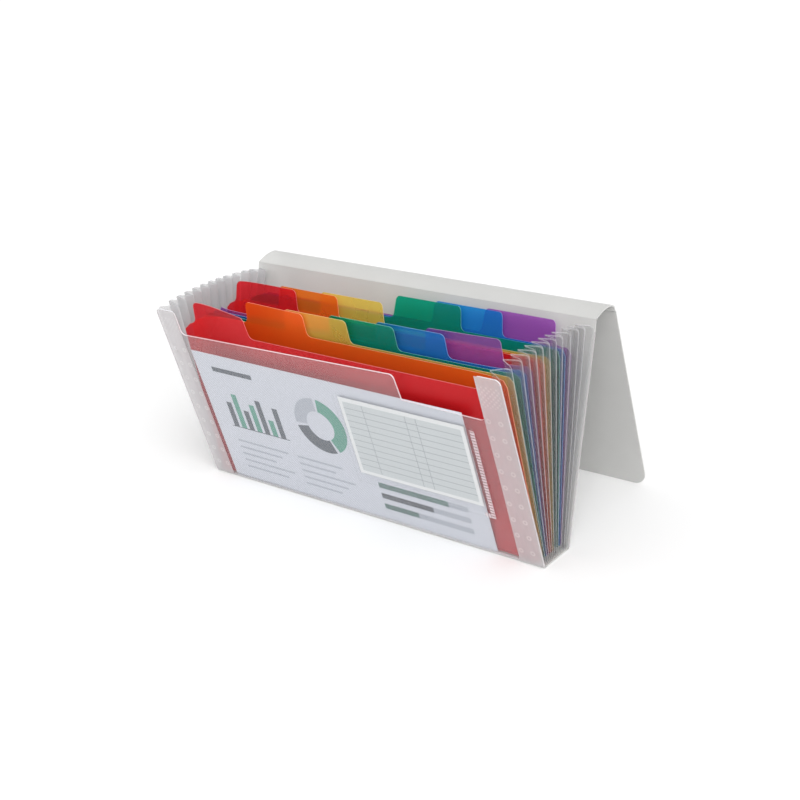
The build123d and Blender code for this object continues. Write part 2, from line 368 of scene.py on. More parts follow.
def dress(node, material):
    """Gives a CAD node its finished material."""
    frame["nodes"][node].data.materials.clear()
    frame["nodes"][node].data.materials.append(material)


def along_folder(curve):
    """A strip of one cross section: the curve at both ends of the folder."""
    ends = np.array([-HALF_LENGTH, HALF_LENGTH])
    strip = np.repeat(curve[:, None, :], len(ends), axis=1)
    strip[:, :, 0] = ends
    return strip


def on_leaf(crease, lean, x, up, out):
    """Points on a leaning leaf: x along the folder, up the leaf from its crease, and out of its front face."""
    x, up, out = np.broadcast_arrays(x, up, out)
    y = crease[1] + up * math.sin(lean) - out * math.cos(lean)
    z = crease[2] + up * math.cos(lean) + out * math.sin(lean)
    return np.stack([x, y, z], axis=-1)


def on_front(x, up, out):
    """Points on the front panel's leaf."""
    return on_leaf(HINGES["front_fold"], FRONT_LEAN, x, up, out)


def at_leaf(number, values):
    """A value at a leaf number, straight between leaves."""
    return np.interp(number, LEAF_NUMBERS, values)


def fold_depth(look, side, level):
    """Depth of a gusset's pleats at a level: it grows evenly from the line where the leaves meet."""
    top_depth = (look.left_depth, look.right_depth)[side]
    return top_depth * (level - APEX_Z) / (FOOT_LEVEL + look.height - APEX_Z)


def turn_between(piece):
    """Bakes the piece's placement into its mesh.
    """
    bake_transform(piece)


class CoverLook(bpy.types.PropertyGroup):
    """Finish of the one-piece cover."""

    colour: colour("Cover", "Colour of the frosted sheet", "#D4D4D2")
    cover_solid: share("Cover density", "How much of the light each face of the frosted sheet stops", 0.8)
    cloud_size: length("Cloud size", "Width of the cloudy patches in the sheet", 0.03)
    grain_size: length("Grain size", "Width of the sanded grain", 0.0008)
    front_colour: colour("Front", "Colour of the clear front sheet", "#E6E6EA")
    front_solid: share("Front density", "How much of the light each face of the front sheet stops", 0.1)
    edge_solid: share("Edge density", "How much of the light a cut edge stops", 0.85)
    hatch_pitch: length("Hatch pitch", "From line to line of the embossed hatch, drawn coarse enough to show", 0.002)
    hatch_depth: share("Hatch depth", "How much of the light a line of the hatch takes away", 0.14)
    hinge_reach: length("Hinge reach", "How far a crease's thin web runs into the leaves beside it", 0.0014)
    hinge_web: length("Hinge web", "Thickness of the sheet at a crease", 0.0004)
    arch_rise: length("Arch rise", "Height of the open spine's arch over the line between its creases", 0.0041)
    arch_room: length("Arch room", "From the arch's end to the flap's crease", 0.0009)
    arch_ease: length("Arch ease", "Height at which the arch would not turn with the spine at all", 0.02534)
    arch_reach: length("Arch reach", "From there to the flap's crease, along the spine", 0.00905)
    arch_points: count("Arch points", "Points over the spine's arch", 33)


class DividerLook(bpy.types.PropertyGroup):
    """Finish of the dividers."""

    red: colour("Red", "Colour of the red dividers", "#DE343E")
    orange: colour("Orange", "Colour of the orange dividers", "#FF8430")
    yellow: colour("Yellow", "Colour of the yellow dividers", "#F8CC68")
    green: colour("Green", "Colour of the green dividers", "#00A88C")
    blue: colour("Blue", "Colour of the blue dividers", "#2E98DC")
    purple: colour("Purple", "Colour of the purple dividers", "#AA6ABC")
    solid: share("Density", "How much of the light each face of a divider scatters", 0.32)
    clear: strength("Clearness", "How much of its own colour a divider's face lets through", 1.25)
    edge_solid: share("Edge density", "How much of the light a cut edge scatters", 0.7)
    edge_pale: share("Edge paleness", "How much paler than the faces a cut edge is", 0.2)
    cloud_size: length("Cloud size", "Width of the cloudy patches in the sheet", 0.04)
    grain_size: length("Grain size", "Width of the sanded grain", 0.0008)
    thickness: length("Thickness", "Thickness of a divider", 0.0004)
    height: length("Height", "From a divider's foot to the top of its tab", 0.126)
    tab_height: length("Tab height", "From the body's top edge to the tab's", 0.014)
    tab_width: length("Tab width", "Width of a tab at its top", 0.0485)
    tab_flare: length("Tab flare", "How far a tab widens to each side at its foot", 0.0015)
    tab_margin: length("Tab margin", "From either end of the cover to the nearest tab", 0.022)
    corner: length("Corner rounding", "Radius of the upper corners", 0.003)
    foot_corner: length("Foot rounding", "Radius at the foot of a tab", 0.0035)
    side_room: length("Side room", "From a gusset's inner folds to a divider's edge", 0.0009)
    foot_lift: length("Foot lift", "Room under a divider's foot, for when it lies down on the bottom strip", 0.0012)
    side_power: count("Side power", "Power of the way across by which the lean turns into the gussets'", 32)
    rows: count("Rows", "Points up a divider", 11)
    columns: count("Columns", "Points across a divider, besides those of its tab", 81)


class GussetLook(bpy.types.PropertyGroup):
    """Shape and finish of the pleated gussets, one film painted lit on the left and shaded on the right."""

    colour: colour("Gusset", "Colour of the clear gusset sheet", "#E0E0E2")
    # Both gussets are one film. The left's much denser scatter is painted light, for the light falling inside it; the
    # right's thin scatter is painted shade.
    left_solid: share("Left density", "How much of the light each face of the left gusset scatters", 0.3)
    left_grey: share("Left clearness", "How much of the other light each of its faces lets through", 0.9)
    right_solid: share("Right density", "How much of the light each face of the right gusset scatters", 0.028)
    right_grey: share("Right clearness", "How much of the other light each of its faces lets through", 0.94)
    white: share("Fold density", "How much of the light a face scatters along an outer fold", 0.32)
    white_power: count("Fold power", "Power of the way to an outer fold by which the sheet whitens", 24)
    thickness: length("Thickness", "Thickness of the gusset sheet", 0.00025)
    height: length("Height", "Height of the leaves up their own slope", 0.126)
    left_depth: length("Left pleat depth", "From the outer to the inner folds of the left gusset, at the top", 0.0125)
    right_depth: length("Right pleat depth", "The same of the right gusset, which is drawn in less", 0.0095)
    tip: length("Tip", "From the end of the cover to the outer folds", 0.0006)
    foot: length("Foot", "Level of the gussets' lower edge", 0.0011)
    corner: length("Corner radius", "Rounding of the top of each outer fold", 0.003)
    roundness: share("Fold sharpness", "1 is a knife fold, less rounds the folds", 0.985)
    end_room: length("End room", "From a panel's middle to the last fold", 0.00083)
    rim: length("Rim", "Width of the whitened line along the top edge", 0.0009)
    rows: count("Rows", "Points up each pleat", 15)
    columns: count("Columns", "Points across each pair of pleats", 41)


class FlangeLook(bpy.types.PropertyGroup):
    """Shape and finish of the welded flanges."""

    colour: colour("Flange", "Colour of the flange sheet", "#E8E4E6")
    solid: share("Density", "How much of the light each face of a flange scatters", 0.36)
    grey: share("Clearness", "How much of the other light each face of a flange lets through", 0.93)
    # The whitening round the weld dots is partly the welds' own whitening and partly a painted highlight on the raised
    # rings
    white: share("Weld density", "How much of the light a face scatters round a weld", 0.48)
    width: length("Width", "Width of a flange on the panel's face", 0.016)
    foot: length("Foot", "Lower end of the flange, up its panel", 0.0008)
    height: length("Height", "Upper end of the flange, up its panel", 0.126)
    thickness: length("Thickness", "Thickness of the flange", 0.0003)
    corner: length("Corner radius", "Rounding of the upper outer corner", 0.003)
    ring_radius: length("Weld radius", "Radius of the ring round each weld dot", 0.0012)
    ring_width: length("Weld rim", "Half width of that ring", 0.0004)
    ring_rise: length("Weld rise", "Height of that ring", 0.00006)
    first: length("First weld", "From the flange's crease to the lowest dots", 0.009)
    pitch: length("Weld pitch", "From dot to dot up a column", 0.0111)
    inner: length("Inner column", "From the flange's free edge to the nearest column of dots", 0.0027)
    column_gap: length("Weld column gap", "Between the two columns", 0.0078)
    welds: count("Welds", "Weld dots in a column", 9)
    knurl_pitch: length("Knurl pitch", "From point to point of the knurled weld at the top", 0.0032)
    knurl_foot: length("Knurl foot", "Lower end of the knurled weld, up the flange", 0.107)
    knurl_top: length("Knurl top", "Upper end of the knurled weld, up the flange", 0.121)
    # The knurl points' whiteness is likewise partly a painted highlight on the raised points
    knurl_share: share("Knurl share", "Height and whiteness of the knurl's points, against the rings", 0.7)
    rows: count("Rows", "Points up a flange", 361)
    columns: count("Columns", "Points across its face", 49)
    lip_columns: count("Lip columns", "Points round its bend and across the panel's edge", 7)


class CardLook(bpy.types.PropertyGroup):
    """Finish of the index card and its pocket."""

    film: colour("Film", "Colour of the clear pocket film", "#EEF0F2")
    film_solid: share("Film density", "How much of the light each face of the film scatters", 0.025)
    film_clear: share("Film clearness", "How much of the other light each face of the film lets through", 0.995)
    weld: colour("Weld", "Colour of the whitened weld", "#E6DCE0")
    weld_solid: share("Weld density", "How much of the light each face scatters between ribs", 0.2)
    rib_solid: share("Rib density", "How much of the light each face scatters on a rib", 0.6)
    weld_width: length("Weld width", "Width of the ribbed weld", 0.003)
    weld_pitch: length("Rib pitch", "From rib to rib of the weld, drawn coarse enough to show", 0.002)
    weld_rise: length("Rib rise", "Height of the weld's ribs", 0.00012)
    weld_foot: length("Weld foot", "Length of the weld's short run along the bottom", 0.0075)
    weld_thickness: length("Weld thickness", "Thickness of the weld's whitened skin", 0.00008)
    weld_inset: length("Weld inset", "From the film's right edge to the weld", 0.0004)
    weld_start: length("Weld start", "From the film's lower edge to the weld", 0.0006)
    weld_stop: length("Weld stop", "From the weld to the film's upper edge", 0.003)
    film_face: length("Film face", "From the front panel to the film's outer face", 0.00085)
    card_face: length("Card face", "From the front panel to the card's outer face", 0.00045)
    rib_points: count("Rib points", "Points along each rib", 8)
    weld_columns: count("Weld columns", "Points across the weld", 5)
    card: colour("Card", "Colour of the card's border", "#DCDEDF")
    field: colour("Field", "Colour of the card's printed field", "#C3C8CA")
    line: colour("Line", "Colour of the ruled lines", "#8E969C")
    border: length("Border", "Width of the card's plain border", 0.0026)
    line_width: length("Line width", "Width of the ruled lines", 0.00032)
    lines: count("Lines", "Ruled lines on the card", 10)
    layer: length("Print layer", "From one layer of the card's print to the next", 0.00002)
    ink: length("Ink", "Thickness of the card's print", 0.00001)
    card_fibre: length("Card fibre", "Width of the mottle in the card", 0.0015)
    ink_fibre: length("Ink fibre", "Width of the mottle in the card's print", 0.0012)


class InsertLook(bpy.types.PropertyGroup):
    """Finish of the insert sheet."""

    paper: colour("Paper", "Colour of the insert sheet", "#D6DAE3")
    teal: colour("Teal", "First printing colour", "#4E9C88")
    slate: colour("Slate", "Second printing colour", "#4A545E")
    grey: colour("Grey", "Third printing colour", "#B4BAC4")
    ink: length("Ink", "Thickness of the printed shapes", 0.00002)
    fibre: length("Fibre", "Width of the mottle in paper and print", 0.002)
    seat: length("Seat", "Lower edge of the insert, up the front panel", 0.0012)
    room: length("Room", "From the front panel's inner face to the insert", 0.00015)
    ring_points: count("Ring points", "Points round each part of the ring chart", 49)


class StageLook(bpy.types.PropertyGroup):
    """Floor, light and camera."""

    floor: colour("Floor", "Colour of the floor", "#F4F4F4")
    floor_reach: length("Floor reach", "From the middle of the floor to its edge", 8.0)
    floor_thickness: length("Floor thickness", "Thickness of the floor", 0.002)
    floor_gap: length("Floor gap", "From the floor to the folder's underside", 0.0002)
    floor_glow: share("Floor glow", "How much the floor shines by itself where it is seen", 0.04)
    clear_steps: count("Clear steps", "How many faces of clear sheet a ray may pass", 160)
    sky: strength("Sky", "Strength of the light from all round", 0.75)
    key: strength("Key", "Strength of the large soft lamp", 2.0)
    key_spread: FloatProperty(
        name="Key spread", description="Angle that the lamp takes up", default=math.radians(50), subtype="ANGLE"
    )
    key_turn: FloatVectorProperty(
        name="Key turn",
        description="Turn of the lamp about X, Y and Z",
        default=(math.radians(50), 0.0, math.radians(55)),
        subtype="EULER",
    )
    lens: FloatProperty(name="Lens", description="Focal length on a 36 mm wide image", default=64.28, unit="CAMERA")
    place: FloatVectorProperty(
        name="Camera", description="Place of the camera", default=(0.53388, -0.56313, 0.41055), subtype="TRANSLATION"
    )
    turn: FloatVectorProperty(
        name="Camera turn",
        description="Turn of the camera about X, Y and Z",
        default=(math.radians(66.0756), math.radians(6.1833), math.radians(39.2431)),
        subtype="EULER",
    )


class FOLDER_OT_stage(bpy.types.Operator):
    """Makes the floor, the light and the camera."""

    bl_idname = "folder.stage"
    bl_label = "Stage"

    def execute(self, context):
        look = context.scene.folder_stage
        scene = context.scene
        scene.view_settings.view_transform = "Standard"
        scene.cycles.transparent_max_bounces = look.clear_steps
        self.light(look, scene)
        self.floor(look)
        self.camera(look, scene)
        return {"FINISHED"}

    def light(self, look, scene):
        """A white surround, dimmer as a light than as it is seen, and one large soft lamp."""
        world = bpy.data.worlds.new("studio")
        scene.world = world
        world.use_nodes = True
        tree = world.node_tree
        tree.nodes.clear()
        level = add_node(tree, "ShaderNodeMix", {0: self.seen(tree), 2: look.sky, 3: 1.0})
        sky = add_node(tree, "ShaderNodeBackground", {"Color": (1, 1, 1, 1), "Strength": level.outputs[0]})
        add_node(tree, "ShaderNodeOutputWorld", {"Surface": sky.outputs[0]})

        lamp = bpy.data.lights.new("key", "SUN")
        lamp.energy = look.key
        lamp.angle = look.key_spread
        key = bpy.data.objects.new("key", lamp)
        key.rotation_euler = look.key_turn
        scene.collection.objects.link(key)

    def floor(self, look):
        """A flat square of plain paper, just under the folder."""
        material, tree = new_material("white_paper_sweep")
        paper = add_node(tree, "ShaderNodeBsdfDiffuse", {"Color": rgba(look.floor)})
        lift = add_node(tree, "ShaderNodeMath", {0: self.seen(tree), 1: look.floor_glow}, operation="MULTIPLY")
        glow = add_node(tree, "ShaderNodeEmission", {"Color": (1, 1, 1, 1), "Strength": lift.outputs[0]})
        sweep = add_node(tree, "ShaderNodeAddShader", {0: paper.outputs[0], 1: glow.outputs[0]})
        add_node(tree, "ShaderNodeOutputMaterial", {"Surface": sweep.outputs[0]})
        side = np.array([-look.floor_reach, look.floor_reach])
        x, y = np.meshgrid(side, side, indexing="ij")
        level = np.full_like(x, -look.floor_gap - look.floor_thickness / 2)
        floor = make_piece("floor", [(np.stack([x, y, level], axis=-1), 0)], [material], look.floor_thickness)

    @staticmethod
    def camera(look, scene):
        """The camera, from a little above the folder's right end."""
        optics = bpy.data.cameras.new("camera")
        optics.lens = look.lens
        optics.sensor_width = 36.0
        optics.clip_start = 0.01
        optics.clip_end = 50.0
        camera = bpy.data.objects.new("camera", optics)
        camera.location = look.place
        camera.rotation_euler = look.turn
        scene.collection.objects.link(camera)
        scene.camera = camera

    @staticmethod
    def seen(tree):
        """1 for rays that show the backdrop itself, directly, mirrored or through glass."""
        path = add_node(tree, "ShaderNodeLightPath")
        either = add_node(
            tree,
            "ShaderNodeMath",
            {0: path.outputs["Is Camera Ray"], 1: path.outputs["Is Glossy Ray"]},
            operation="MAXIMUM",
        )
        return add_node(
            tree,
            "ShaderNodeMath",
            {0: either.outputs[0], 1: path.outputs["Is Transmission Ray"]},
            operation="MAXIMUM",
        ).outputs[0]


class FOLDER_OT_cover(bpy.types.Operator):
    """Finishes the five leaves of the cover and bridges the creases between them."""

    bl_idname = "folder.cover"
    bl_label = "Cover"

    def execute(self, context):
        look = context.scene.folder_cover
        frosted, hatched = frosted_polypropylene(look), hatched_clear_sheet(look)
        dress("front_panel", hatched)
        for node in ("bottom_strip", "rear_panel", "spine_strip", "cover_flap"):
            dress(node, frosted)
        spine_fall = HINGES["flap_fold"] - HINGES["spine_fold"]
        self.creases(look, frosted, hatched, spine_fall)
        self.spine(look, frosted, spine_fall)
        return {"FINISHED"}

    @staticmethod
    def creases(look, frosted, hatched, spine_fall):
        """A strip along each crease: the quadratic curve from one leaf to the next that bends round the axis."""
        flap_low, flap_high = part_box("cover_flap")
        flap_rise = np.array([0.0, flap_high.y - HINGES["flap_fold"][1], flap_low.z - HINGES["flap_fold"][2]])
        front_up = np.array([0.0, math.sin(FRONT_LEAN), math.cos(FRONT_LEAN)])
        back = np.array([0.0, 1.0, 0.0])
        t = np.linspace(0.0, 1.0, ARC_POINTS)[:, None]
        for name, body, next_body, arriving, leaving in (
            ("front", "bottom", "front", -back, front_up),
            ("rear", "bottom", "rear", back, SPINE_RISE),
            ("spine", "rear", "spine", SPINE_RISE, spine_fall),
            ("flap", "spine", "flap", spine_fall, flap_rise),
        ):
            axis = HINGES[f"{name}_fold"]
            before = axis - arriving / np.linalg.norm(arriving) * look.hinge_reach
            after = axis + leaving / np.linalg.norm(leaving) * look.hinge_reach
            curve = (1 - t) ** 2 * before + 2 * t * (1 - t) * axis + t**2 * after
            sheet, slot = (hatched, "clear_front") if name == "front" else (frosted, "frosted_cover")
            web = make_piece(f"{name}_crease", [(along_folder(curve), 0)], [sheet], look.hinge_web)
            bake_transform(web)

    @staticmethod
    def spine(look, frosted, fall):
        """The spine from crease to crease: it rises by a power of the way out times one of the way left.

        Both powers are under one, so it leaves the rear panel and meets the flap without a sharp crease.
        It arches where it is opened right back.
        """
        rise_power, fall_power = 0.9, 0.4
        peak = rise_power / (rise_power + fall_power)
        way = (0.5 - 0.5 * np.cos(np.linspace(0.0, math.pi, look.arch_points)))[:, None]
        shape = (way / peak) ** rise_power * ((1 - way) / (1 - peak)) ** fall_power
        width = np.linalg.norm(fall)
        normal = np.array([0.0, -fall[2], fall[1]]) / width
        run = way * (1 - look.arch_room / width) * fall
        curve = HINGES["spine_fold"] + run + look.arch_rise * shape * normal
        arch = make_piece("spine_strip_arched", [(along_folder(curve), 0)], [frosted], SHEET)
        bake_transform(arch)
        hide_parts("spine_strip")


class FOLDER_OT_dividers(bpy.types.Operator):
    """Makes the tabbed dividers, which bow between the gussets and lean together in groups."""

    bl_idname = "folder.dividers"
    bl_label = "Dividers"

    # How far each divider bows back from its leaf at the left and at the right end of its tab, in degrees,
    # and how far its tab stands along the folder from its even step, in millimetres
    STANCES = (
        *((4.0, 0.1, -1.2), (5.8, 4.9, -1.5), (3.1, 3.1, -3.3), (1.8, 1.8, -4.0), (0.3, 0.4, -4.2), (-0.7, 0.5, -5.0)),
        *((5.6, 5.0, -3.0), (3.5, 3.0, -4.1), (1.6, 1.6, -4.7), (4.0, 3.9, 3.3), (2.4, 2.4, -2.6), (0.8, 0.8, -1.2)),
    )

    def execute(self, context):
        look = context.scene.folder_divider
        sheets = {}
        for number, (node, (*bows, shift)) in enumerate(zip(DIVIDERS, self.STANCES, strict=True), start=1):
            name = node.split("_")[-1]
            if name not in sheets:
                sheets[name] = tinted_polypropylene(f"tinted_polypropylene_{name}", getattr(look, name), look)
            points = self.sheet(look, context.scene.folder_gusset, number, bows, shift * MM)
            piece = make_piece(f"{node}_sheet", [(points, 0)], [sheets[name]], look.thickness)
            turn_between(piece)
            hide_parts(node)
        return {"FINISHED"}

    def sheet(self, look, gusset, number, bows, shift):
        """A divider: straight lines up from the foot to the tab's outline, each with its own lean.

        The lean goes evenly from one end of the tab to the other, and turns into that of the gussets' inner
        folds by a high power of the way from one side to the other.
        """
        body_height = look.height - look.tab_height
        edge = HALF_LENGTH - gusset.tip - look.side_room
        foot_left, foot_right = (edge - fold_depth(gusset, side, FOOT_LEVEL) for side in range(2))
        top_left, top_right = (edge - fold_depth(gusset, side, FOOT_LEVEL + body_height) for side in range(2))
        centre = self.tab_centre(look, number) + shift
        outline_x, outline_level = self.outline(look, centre)
        x_top = np.unique(np.concatenate([np.linspace(-top_left, top_right, look.columns), outline_x]).round(6))
        past = np.clip(1 + np.maximum(-x_top - top_left, x_top - top_right) / look.corner, 0.0, 1.0)
        top = np.interp(x_top, outline_x, outline_level) - look.corner * (1 - np.sqrt(1 - past**2))

        across = (x_top + top_left) / (top_left + top_right)
        height = look.foot_lift + np.linspace(0.0, 1.0, look.rows)[:, None] * (top - look.foot_lift)
        x_foot = across * (foot_left + foot_right) - foot_left
        x = x_foot + (x_top - x_foot) * np.minimum(height / body_height, 1.0)
        bow = np.interp(x_top, [centre - look.tab_width / 2, centre + look.tab_width / 2], bows)
        for side, way in enumerate((1 - across, across)):
            bow += (SAG[side, number] - bows[side]) * way**look.side_power
        lean = math.atan(FRAME_SLOPES[number]) + np.radians(bow)
        _, foot_y, foot_z = LEAF_HINGES[number]
        return np.stack([x, foot_y + height * np.sin(lean), foot_z + height * np.cos(lean)], axis=-1)

    @staticmethod
    def tab_centre(look, number):
        """Middle of a divider's tab: the tabs of a row step evenly along the folder."""
        tabs_in_row = len(DIVIDERS) // 2
        first = -HALF_LENGTH + look.tab_margin + look.tab_width / 2
        return first * (1 - 2 * ((number - 1) % tabs_in_row) / (tabs_in_row - 1))

    @staticmethod
    def outline(look, centre):
        """Places across and levels of a tab's outline: each side is an arc, a straight flank and an arc."""
        flank = math.pi / 2 - math.atan2(look.tab_flare, look.tab_height)
        angle = np.linspace(0.0, flank, ARC_POINTS)
        setback = math.tan(flank / 2)
        head = look.corner * np.array([np.sin(angle) - setback, np.cos(angle) - 1])
        foot = look.foot_corner * np.array([setback - np.sin(angle), 1 - np.cos(angle)])[:, ::-1]
        foot += np.array([[look.tab_flare], [-look.tab_height]])
        run, drop = np.concatenate([head, foot], axis=1)
        side = look.tab_width / 2 + run
        level = look.height + drop
        return np.concatenate([centre - side[::-1], centre + side]), np.concatenate([level[::-1], level])


class FOLDER_OT_gussets(bpy.types.Operator):
    """Makes the pleats of both gussets."""

    bl_idname = "folder.gussets"
    bl_label = "Gussets"

    def execute(self, context):
        look = context.scene.folder_gusset
        for side, name in enumerate(("left", "right")):
            # One film per side: painted light in the left's dense scatter, painted shade in the right's thin scatter
            solid, grey = (getattr(look, f"{name}_{part}") for part in ("solid", "grey"))
            film = clear_sheet(
                f"clear_polypropylene_{name}_pleats", look.colour, solid, grey, look.white, roughness=0.3
            )
            slopes, turns = SHEET_SLOPES[side], SHEET_TURNS[side]
            for number in range(1, REAR):
                # A pair whose two sides turn opposite ways is made as two pieces
                spans = [(-1.0, 1.0)]
                if at_leaf(number - 0.5, turns) * at_leaf(number + 0.5, turns) < 0:
                    spans = [(-1.0, 0.0), (0.0, 1.0)]
                for index, (first, last) in enumerate(spans):
                    label = f"{name}_pleat_{number:02d}" + ("" if len(spans) == 1 else "_" + "ab"[index])
                    points, whitening = self.pleat(look, side, number, first, last)
                    piece = make_piece(label, [(points, 0)], [film], look.thickness, [whitening])
                    turn_between(piece)
                    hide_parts(f"{name}_gusset")
        return {"FINISHED"}

    @staticmethod
    def leaf_at(number, across):
        """Leaf number at -1 to 1 across a pleat: half way to the next divider, or all the way to a panel."""
        before = 1.0 if number == 1 else 0.5
        after = 1.0 if number == REAR - 1 else 0.5
        return number + np.where(across < 0, across * before, across * after)

    def pleat(self, look, side, number, first, last):
        """One pair of pleats about the inner fold on a divider's edge.

        Across, the sheet is a triangle wave with rounded folds, an arcsine of a cosine. Its depth grows
        evenly from the line below the floor where all leaves meet. Up, each point runs straight along its
        own leaf, to a top edge that is rounded off at the outer folds. The outer folds and the top edge
        are whitened.
        """
        across = np.linspace(first, last, look.columns if last - first > 1 else look.columns // 2 + 1)
        up = np.append(np.linspace(0.0, 1.0 - look.rim / look.height, look.rows - 1), 1.0)[:, None]
        leaf = self.leaf_at(number, across)
        slope = at_leaf(leaf, SHEET_SLOPES[side])
        wave = 0.5 + np.arcsin(look.roundness * np.cos(math.pi * across)) / (2 * math.asin(look.roundness))
        width = fold_depth(look, side, FOOT_LEVEL + look.height)
        past = np.clip(1 - (1 - np.abs(across)) * width / look.corner, 0.0, 1.0)
        top = FOOT_LEVEL + look.height / np.sqrt(1 + slope**2) - look.corner * (1 - np.sqrt(1 - past**2))
        level = look.foot + up * (top - look.foot)
        x = (-1, 1)[side] * (HALF_LENGTH - look.tip - fold_depth(look, side, level) * wave)
        room = look.end_room * np.sqrt(1 + slope**2)
        inset = room * (np.clip(1 - leaf, 0, 1) - np.clip(leaf - (REAR - 1), 0, 1))
        y = at_leaf(leaf, LEAF_FEET) + (level - FOOT_LEVEL) * slope + inset
        return np.stack([x, y, level], axis=-1), np.maximum(np.abs(across) ** look.white_power, up == 1.0)


class FOLDER_OT_flanges(bpy.types.Operator):
    """Makes the flanges that wrap the side edges of the front and rear panels."""

    bl_idname = "folder.flanges"
    bl_label = "Flanges"

    def execute(self, context):
        look = context.scene.folder_flange
        film = clear_sheet(
            "clear_polypropylene_flange", look.colour, look.solid, look.grey, look.white, roughness=0.35
        )
        # The rings stand as high as the sheet is thinner than the flange
        sheet = look.thickness - look.ring_rise
        for panel, lean, outward in (("front", FRONT_LEAN, 1), ("rear", REAR_LEAN, -1)):
            for side, sign in (("left", -1), ("right", 1)):
                x, up, out, ring = self.strip(look)
                points = on_leaf(HINGES[f"{panel}_fold"], lean, sign * x, up, outward * out)
                name = f"{side}_{panel}_flange"
                # The ring values become the whitening: partly weld whitening, partly a painted highlight on the raised
                # rings
                piece = make_piece(f"{name}_welded", [(points, 0)], [film], sheet, [ring])
                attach(piece, panel)
                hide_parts(name)
        return {"FINISHED"}

    @staticmethod
    def strip(look):
        """A strip round the panel's edge: flat on the face, a quarter turn, then across the thickness.

        On the face it rises in a ring about each weld dot, a bell curve of the distance from the ring, and
        in the points of a knurled patch at the top, the positive part of two cosines' product.
        """
        bend = look.thickness / 2
        flat = look.width
        turn = bend * math.pi / 2
        round_edge = np.linspace(0, turn + SHEET, look.lip_columns)[1:]
        run = np.concatenate([np.linspace(0, flat, look.columns), flat + round_edge])
        angle = np.clip((run - flat) / bend, 0, math.pi / 2)
        x = HALF_LENGTH - flat + np.minimum(run, flat) + bend * np.sin(angle)
        lip = np.maximum(run - flat - turn, 0)
        out = HALF_SHEET + bend * np.cos(angle) - lip
        past = np.clip((x - (HALF_LENGTH - look.corner)) / look.corner, 0.0, 1.0)
        top = look.height - look.corner * (1 - np.sqrt(1 - past**2))
        up = look.foot + np.linspace(0.0, 1.0, look.rows)[:, None] * (top - look.foot)
        x, out = np.broadcast_arrays(x, out + 0 * up)
        away = up - look.first
        nearest = np.clip(np.round(away / look.pitch), 0, look.welds - 1)
        inner_edge = HALF_LENGTH - look.width
        ring = np.zeros_like(up)
        for column in range(2):
            across = x - inner_edge - look.inner - column * look.column_gap
            distance = np.hypot(across, away - nearest * look.pitch)
            ring = ring + np.exp(-(((distance - look.ring_radius) / look.ring_width) ** 2))
        step = math.tau / look.knurl_pitch
        knurl = np.clip(np.cos(step * (x - inner_edge)) * np.cos(step * (up - look.knurl_foot)), 0.0, 1.0)
        inside = (up > look.knurl_foot) & (up < look.knurl_top)
        inside = inside & (np.abs(x - HALF_LENGTH + look.width / 2) < look.width / 2 - look.inner / 2)
        # The rings and knurl points also whiten the film: partly the welds' own whitening, partly a painted highlight
        # on the raised rims
        ring = np.minimum(ring + look.knurl_share * knurl * inside, 1.0) * (run < flat)
        return x, up, out + look.ring_rise * ring, ring


class FOLDER_OT_card_pocket(bpy.types.Operator):
    """Finishes the card pocket with its ribbed weld, and rules the index card."""

    bl_idname = "folder.card_pocket"
    bl_label = "Card pocket"

    COLUMN_LINES = (0.17, 0.54, 0.63)  # their places across the card's printed field

    def execute(self, context):
        look = context.scene.folder_card
        film = clear_sheet(
            "clear_pocket_film", look.film, look.film_solid, look.film_clear, white=1.0, roughness=0.16
        )
        dress("card_pocket", film)
        dress("index_card", paper_stock("index_card_stock", look.card, look.card_fibre))
        self.weld(look)
        self.ruling(look)
        return {"FINISHED"}

    @staticmethod
    def weld(look):
        """A strip up the pocket's right edge and a short one along its foot.

        The height of each is a cosine of the way along it.
        """
        low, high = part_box("card_pocket")
        up_low, up_high = ((z - HALF_SHEET) / math.cos(FRONT_LEAN) for z in (low.z, high.z))
        edge, foot = high.x - look.weld_inset, up_low + look.weld_start
        step = look.weld_pitch / look.rib_points
        run_up = np.arange(foot, up_high - look.weld_stop, step)[:, None]
        run_across = np.arange(edge - look.weld_foot, edge - look.weld_width, step)
        width = look.weld_width * np.linspace(0.0, 1.0, look.weld_columns)
        grids, ribs = [], []
        for along, x, up in (
            (run_up, edge - look.weld_width + width, run_up),
            (run_across, run_across, foot + width[:, None]),
        ):
            rib = 0.5 - 0.5 * np.cos(math.tau * along / look.weld_pitch) + 0.0 * (x + up)
            grids.append((on_front(x, up, HALF_SHEET + look.film_face + look.weld_rise * rib), 0))
            ribs.append(rib)
        whitened = clear_sheet(
            "whitened_weld", look.weld, look.weld_solid, look.film_clear, look.rib_solid, roughness=0.45
        )
        piece = make_piece("card_pocket_weld", grids, [whitened], look.weld_thickness, ribs)
        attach(piece, "front")

    def ruling(self, look):
        """The card's printed field, and on it thin strips for the ruled lines and columns."""
        low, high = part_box("index_card")
        centre = (low.x + high.x) / 2
        half_width = (high.x - low.x) / 2 - look.border
        card_foot, card_top = ((z - HALF_SHEET) / math.cos(FRONT_LEAN) for z in (low.z, high.z))
        foot, top = card_foot + look.border, card_top - look.border
        face = HALF_SHEET + look.card_face

        def strip(x0, x1, up0, up1, layer):
            """A flat strip in one of the layers of print on the card's face."""
            return on_front(np.array([x0, x1]), np.array([up0, up1])[:, None], face + layer * look.layer)

        grids = [(strip(centre - half_width, centre + half_width, foot, top, 1), 0)]
        for up in np.linspace(foot, top, look.lines + 2)[1:-1]:
            grids.append((strip(centre - half_width, centre + half_width, up, up + look.line_width, 2), 1))
        for part in self.COLUMN_LINES:
            x = centre + half_width * (2 * part - 1)
            grids.append((strip(x, x + look.line_width, foot, top, 2), 1))
        inks = [
            paper_stock(name, tint, look.ink_fibre)
            for name, tint in (("printed_field", look.field), ("ruling_ink", look.line))
        ]
        piece = make_piece("index_card_ruling", grids, inks, look.ink)
        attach(piece, "card")


